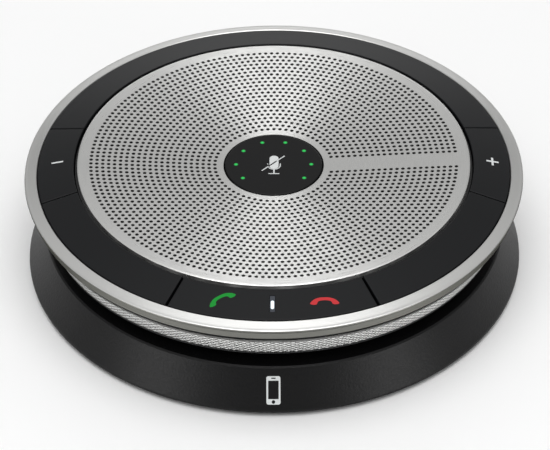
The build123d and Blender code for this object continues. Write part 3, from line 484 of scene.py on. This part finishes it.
def pierced_grille():
    """The grille sheet with every hole cut through, and its rolled edge."""
    holes = [circle_points(BUTTON_HOLE_RADIUS, 180)]
    holes += [circle_points(HOLE_RADIUS, HOLE_SIDES, (x, y), a) for x, y, a in grille_holes()]
    spots = [p for r in BEND_RINGS for p in circle_points(r, EDGE_STEPS)]
    # The plain strip has no holes to carry points, so it gets three rows of its own.
    spots += [(15.0 + 1.3 * i, 0.65 * j) for i in range(20) for j in (-2, 0, 2)]
    outline = circle_points(GRILLE_RADIUS, EDGE_STEPS)
    points, faces = sheet_of([outline], holes, spots, on_dish, 0.0, -GRILLE_SHEET)
    # The edge is rolled down into a short flange that sits on the carrier.
    rows = []
    for radius, height in [
        (GRILLE_RADIUS, dish(GRILLE_RADIUS) - EDGE_FALL),
        (GRILLE_RADIUS, GRILLE_FLANGE_FOOT),
        (GRILLE_RADIUS - GRILLE_SHEET, GRILLE_FLANGE_FOOT),
        (GRILLE_RADIUS - GRILLE_SHEET, dish(GRILLE_RADIUS) - GRILLE_SHEET),
    ]:
        rows.append(range(len(points), len(points) + EDGE_STEPS))
        points += [(x, y, height) for x, y in circle_points(radius, EDGE_STEPS)]
    for low, high in zip(rows[1:], rows):
        for k in range(EDGE_STEPS):
            after = (k + 1) % EDGE_STEPS
            faces.append([high[k], low[k], low[after], high[after]])
    sheet = make_piece("pierced_grille", points, faces, FINISHES["brushed_grille"], 40)
    sheet.data.materials.append(PUNCHED_EDGE)
    for face in sheet.data.polygons:
        if abs(face.normal.z) < 0.3 and math.hypot(*face.center[:2]) < LAST_HOLE_EDGE * MM:
            face.material_index = 1
    return sheet


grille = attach(pierced_grille(), "housing")
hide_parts("speaker_grille")

# ---- Mesh band: wire woven on the slant, with plain edges top and bottom ----

BAND_DIAMONDS = 196  # around the band, 1.66 mm each
BAND_COLUMNS = BAND_DIAMONDS * 8
BAND_WIRE_HEIGHT = 0.26
BAND_GAP_LEVEL = 0.36  # below this the black cloth behind the wires is seen
BAND_EDGE_TOP = 0.17  # share of the band's height that is plain, at the top
BAND_EDGE_FOOT = 0.07
BAND_ROWS = 56
BAND_DIAMOND_HEIGHT = 1.25
BAND_SHEET = 0.55
BAND_WIRE_SHARE = 0.62  # how much of a diamond its wires fill
BAND_UNDER = 0.72  # level of a wire where it passes under another
BAND_PLAIN_LEVEL = 0.7


def weave_height(turns, along):
    """How far the mesh stands out, from 0 in a gap to 1 on a knuckle. turns counts diamonds
    around the band and along counts them up it; each wire goes over one and under the next."""
    tallest = 0.0
    for side in (1, -1):
        across = turns + side * along
        offset = abs((across + 0.5) % 1.0 - 0.5) * 2
        wire = max(0.0, 1.0 - (offset / BAND_WIRE_SHARE) ** 2) ** 0.5
        over = 0.5 + 0.5 * side * math.cos(2 * math.pi * turns)
        tallest = max(tallest, wire * (BAND_UNDER + (1 - BAND_UNDER) * over))
    return tallest


def woven_band():
    """The band as one sheet whose outer face carries the weave."""
    length = math.dist(BAND_FOOT, BAND_TOP)
    outward = ((BAND_TOP[1] - BAND_FOOT[1]) / length, -(BAND_TOP[0] - BAND_FOOT[0]) / length)
    points, faces, levels = [], [], []
    for row in range(BAND_ROWS + 1):
        share = row / BAND_ROWS
        radius = BAND_FOOT[0] + share * (BAND_TOP[0] - BAND_FOOT[0])
        height = BAND_FOOT[1] + share * (BAND_TOP[1] - BAND_FOOT[1])
        plain = share < BAND_EDGE_FOOT or share > 1 - BAND_EDGE_TOP
        for k in range(BAND_COLUMNS):
            turns = BAND_DIAMONDS * k / BAND_COLUMNS
            if plain:
                level = BAND_PLAIN_LEVEL
            else:
                level = weave_height(turns, share * length / BAND_DIAMOND_HEIGHT)
            levels.append(level)
            lift = BAND_WIRE_HEIGHT * (level - 1.0)
            angle = 2 * math.pi * k / BAND_COLUMNS
            out = radius + lift * outward[0]
            points.append(
                (out * math.cos(angle), out * math.sin(angle), height + lift * outward[1])
            )
    back = len(points)
    for radius, height in (
        (BAND_FOOT[0] - BAND_SHEET, BAND_FOOT[1]),
        (BAND_TOP[0] - BAND_SHEET, BAND_TOP[1]),
    ):
        for x, y in circle_points(radius, BAND_COLUMNS):
            points.append((x, y, height))
    order = [row * BAND_COLUMNS for row in range(BAND_ROWS + 1)]
    order += [back + BAND_COLUMNS, back, 0]
    for low, high in zip(order, order[1:]):
        for k in range(BAND_COLUMNS):
            after = (k + 1) % BAND_COLUMNS
            faces.append([low + k, low + after, high + after, high + k])
    band = make_piece("woven_band", points, faces, FINISHES["silver_mesh"], 60)
    band.data.materials.append(FINISHES["grille_cloth"])
    for face in band.data.polygons:
        if max(face.vertices) < back:
            open_share = sum(levels[v] for v in face.vertices) / 4
            face.material_index = int(open_share < BAND_GAP_LEVEL)
    return band


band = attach(woven_band(), "housing")
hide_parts("mesh_band")

# ---- Rim: turned metal with a rounded bead, a shadow line under it and a side darkened by painted shade ----

RIM_STEPS = 480
BEAD_CENTRE = (54.566, 23.34)
BEAD_RADIUS = 0.3435
BEAD_STEPS = 12
BEAD_TOP_STEPS = 4  # of these, the ones on top that keep the rim's own metal; the rest get the side's painted shade
BEAD_TURN = 101  # degrees that the bead runs to each side of its outermost point
RIM_INNER = 52.2
RIM_FOOT = 21.05


def turned_rim():
    """The rim as a ring turned from one outline, its top and bead brighter than its side, whose
    darker colour is painted shade.
    """
    outline = [(RIM_INNER, RIM_FOOT), (RIM_INNER, ring_top(RIM_INNER) - 0.15)]
    outline += [(radius, ring_top(radius)) for radius in (52.35, 52.9, 54.0)]
    first_shaded_row = len(outline) + BEAD_TOP_STEPS
    for step in range(BEAD_STEPS + 1):
        angle = math.radians(BEAD_TURN - 2 * BEAD_TURN * step / BEAD_STEPS)
        outline.append(
            (
                BEAD_CENTRE[0] + BEAD_RADIUS * math.cos(angle),
                BEAD_CENTRE[1] + BEAD_RADIUS * math.sin(angle),
            )
        )
    outline += [(54.0, 22.93), (54.0, 22.66), (54.3, 22.56), (54.28, 22.3), (54.2, RIM_FOOT)]
    points = [
        (x, y, height) for radius, height in outline for x, y in circle_points(radius, RIM_STEPS)
    ]
    faces, shaded_rows = [], []
    for row in range(len(outline)):
        low, high = row * RIM_STEPS, (row + 1) % len(outline) * RIM_STEPS
        for k in range(RIM_STEPS):
            after = (k + 1) % RIM_STEPS
            faces.append([low + k, high + k, high + after, low + after])
            shaded_rows.append(row >= first_shaded_row)
    rim = make_piece("turned_rim", points, faces, FINISHES["silver_rim"], 28)
    # Rows from the lower bead down take the darker copy of the metal: painted shade.
    rim.data.materials.append(RIM_SIDE_PAINTED_SHADE)
    for face, is_shaded in zip(rim.data.polygons, shaded_rows):
        face.material_index = int(is_shaded)
    return rim


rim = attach(turned_rim(), "housing")
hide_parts("rim_ring")

# ---- Printed signs ----


def on_ring(u, v, lift):
    """A point on the sloping key ring."""
    return (u, v, ring_top(math.hypot(u, v)) + lift)


def on_button(u, v, lift):
    """A point on the flat mute button."""
    return (u, v, BUTTON_TOP + lift)


def on_skirt(u, v, lift):
    """A point on the front of the flared base: u around it from the middle, v its height."""
    radius = SKIRT_RADIUS - SKIRT_SLOPE * (v - SKIRT_FOOT) + lift
    angle = math.radians(-90) + u / radius
    return (radius * math.cos(angle), radius * math.sin(angle), v)


def spots_over(outlines, step):
    """A net of points over the outlines, so that a print can follow a curved face."""
    us = [p[0] for o in outlines for p in o]
    vs = [p[1] for o in outlines for p in o]
    across = int((max(us) - min(us)) / step)
    up = int((max(vs) - min(vs)) / step)
    return [
        (min(us) + step * (i + 0.5), min(vs) + step * (j + 0.5))
        for i in range(across)
        for j in range(up)
    ]


def print_sign(name, outlines, holes, place, ink, body):
    """One printed sign, riding with the piece that it is printed on."""
    spots = spots_over(outlines, 0.5)
    points, faces = sheet_of(outlines, holes, spots, place, PRINT_THICKNESS, -PRINT_THICKNESS)
    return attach(make_piece(name, points, faces, ink, 40), body)


def handset_outline():
    """A telephone handset seen from the side: a flat arch with an earpiece at each end."""
    right = [
        (0.0, 0.0),
        (0.9, -0.02),
        (1.7, -0.24),
        (2.4, -0.66),
        (2.9, -1.2),
        (3.08, -1.62),
        (2.5, -1.86),
        (1.62, -1.78),
        (1.5, -1.2),
        (1.1, -0.84),
        (0.0, -0.7),
    ]
    return softened(right + [(-x, y) for x, y in right[-2:0:-1]])


KEY_SIGNS = [
    ("minus_sign", [bar((-49.0, 0), (-46.4, 0), 0.45)], WHITE_INK, "minus_key"),
    (
        "plus_sign",
        [bar((46.85, 0.1), (49.55, 0.1), 0.48), bar((48.2, -1.25), (48.2, 1.45), 0.48)],
        WHITE_INK,
        "plus_key",
    ),
    ("call_sign", [moved(handset_outline(), 29.0, (-11.0, -45.45))], GREEN_INK, "call_rocker"),
    ("hang_up_sign", [moved(handset_outline(), 4.0, (10.7, -45.96))], RED_INK, "call_rocker"),
]
for sign_name, sign_outlines, ink, key_body in KEY_SIGNS:
    print_sign(sign_name, sign_outlines, [], on_ring, ink, key_body)


def mute_sign():
    """A microphone on a stand, with a slash that leaves a dark gap where it crosses it."""
    start, end = Vector((-2.6, -2.29)), Vector((2.42, 3.02))
    along = (end - start).normalized()
    normal = Vector((-along.y, along.x))
    middle = start.dot(normal)
    capsule = rounded_box(1.98, 4.7, 0.98, (0.08, 0.72), 8)
    gap = 0.17
    upper = cut_by_line(capsule, normal, middle + gap)
    lower = cut_by_line(capsule, -normal, -middle + gap)
    near = start + along * 2.15
    far = start + along * 4.7
    cradle = (0.08, -0.42)
    return [
        upper,
        lower,
        bar(start, near, 0.26),
        bar(far, end, 0.26),
        arc_band(cradle, 1.26, 1.5, -150, 0),
        bar((1.46, -0.42), (1.46, 0.3), 0.24),
        bar((-1.3, -0.05), (-1.3, 0.25), 0.24),
        bar((0.08, -1.8), (0.08, -3.3), 0.3),
        bar((-1.12, -3.35), (1.28, -3.35), 0.28),
    ]


print_sign("mute_sign", mute_sign(), [], on_button, WHITE_INK, "mute_key")
print_sign(
    "phone_sign",
    [rounded_box(2.95, 5.6, 0.42, (0.1, 5.76))],
    [
        rounded_box(2.2, 3.66, 0.08, (0.1, 5.86)),
        circle_points(0.37, 16, (0.1, 3.48)),
        rounded_box(0.95, 0.26, 0.12, (0.1, 8.16)),
    ],
    on_skirt,
    WHITE_INK,
    "housing",
)

# ---- Table, light and camera ----

TABLE_SIDE = 8.0  # metres
ROOM_LOW = 0.08  # brightness of the room at table height
ROOM_HIGH = 0.66  # and well above it


def table_top():
    """A plain white table, wide enough to fill the view."""
    half = TABLE_SIDE / 2
    corners = [(-half, -half, 0), (half, -half, 0), (half, half, 0), (-half, half, 0)]
    mesh = bpy.data.meshes.new("table_top")
    mesh.from_pydata(corners, [], [[0, 1, 2, 3]])
    mesh.materials.append(finish("white_table", "#FAFAFA", Roughness=0.7)[0])
    table = bpy.data.objects.new("table_top", mesh)
    bpy.context.scene.collection.objects.link(table)
    return table


table_top()


def softbox(name, place, width, height, power):
    """A soft rectangular lamp, pointed at the phone's foot; sizes in metres, power in watts."""
    lamp = bpy.data.lights.new(name, "AREA")
    lamp.shape = "RECTANGLE"
    lamp.size = width
    lamp.size_y = height
    lamp.energy = power
    box = bpy.data.objects.new(name, lamp)
    box.location = place
    box.rotation_euler = (-Vector(place)).to_track_quat("-Z", "Y").to_euler()
    bpy.context.scene.collection.objects.link(box)


# Overhead: the fans on the grille and the white of the rim's front. Back: the rim's far side.
# Left and right, low down: the sheen on the two front flanks of the base.
softbox("overhead_softbox", (0.0, -0.3, 1.5), 1.25, 1.7, 14.5)
softbox("back_softbox", (0.0, 3.2, 0.4), 3.2, 0.8, 13)
for side, lamp_name in ((-1, "left_softbox"), (1, "right_softbox")):
    softbox(lamp_name, (side * 1.0, -0.86, 0.12), 0.6, 0.2, 3.4)

# The room: the same all round, dark at table height and paler upwards.
room = bpy.data.worlds.new("room")
bpy.context.scene.world = room
room.use_nodes = True
sky = room.node_tree
direction = add(sky, "TexCoord", {}).outputs["Generated"]
height = add(sky, "SeparateXYZ", {"Vector": direction}).outputs["Z"]
walls = add(
    sky,
    "MapRange",
    {"Value": height, 1: 0.0, 2: 0.9, 3: ROOM_LOW, 4: ROOM_HIGH},
    interpolation_type="SMOOTHSTEP",
).outputs["Result"]
fill(sky, sky.nodes["Background"], {"Color": (1, 1, 1, 1), "Strength": walls})

lens = bpy.data.cameras.new("camera")
lens.sensor_width = 36.0
lens.lens = 171.66
camera = bpy.data.objects.new("camera", lens)
camera.location = (0.00479, -0.45755, 0.37854)
camera.rotation_euler = [math.radians(a) for a in (50.936, 0.374, 0.273)]
bpy.context.scene.collection.objects.link(camera)
bpy.context.scene.camera = camera
bpy.context.scene.view_settings.view_transform = "Standard"
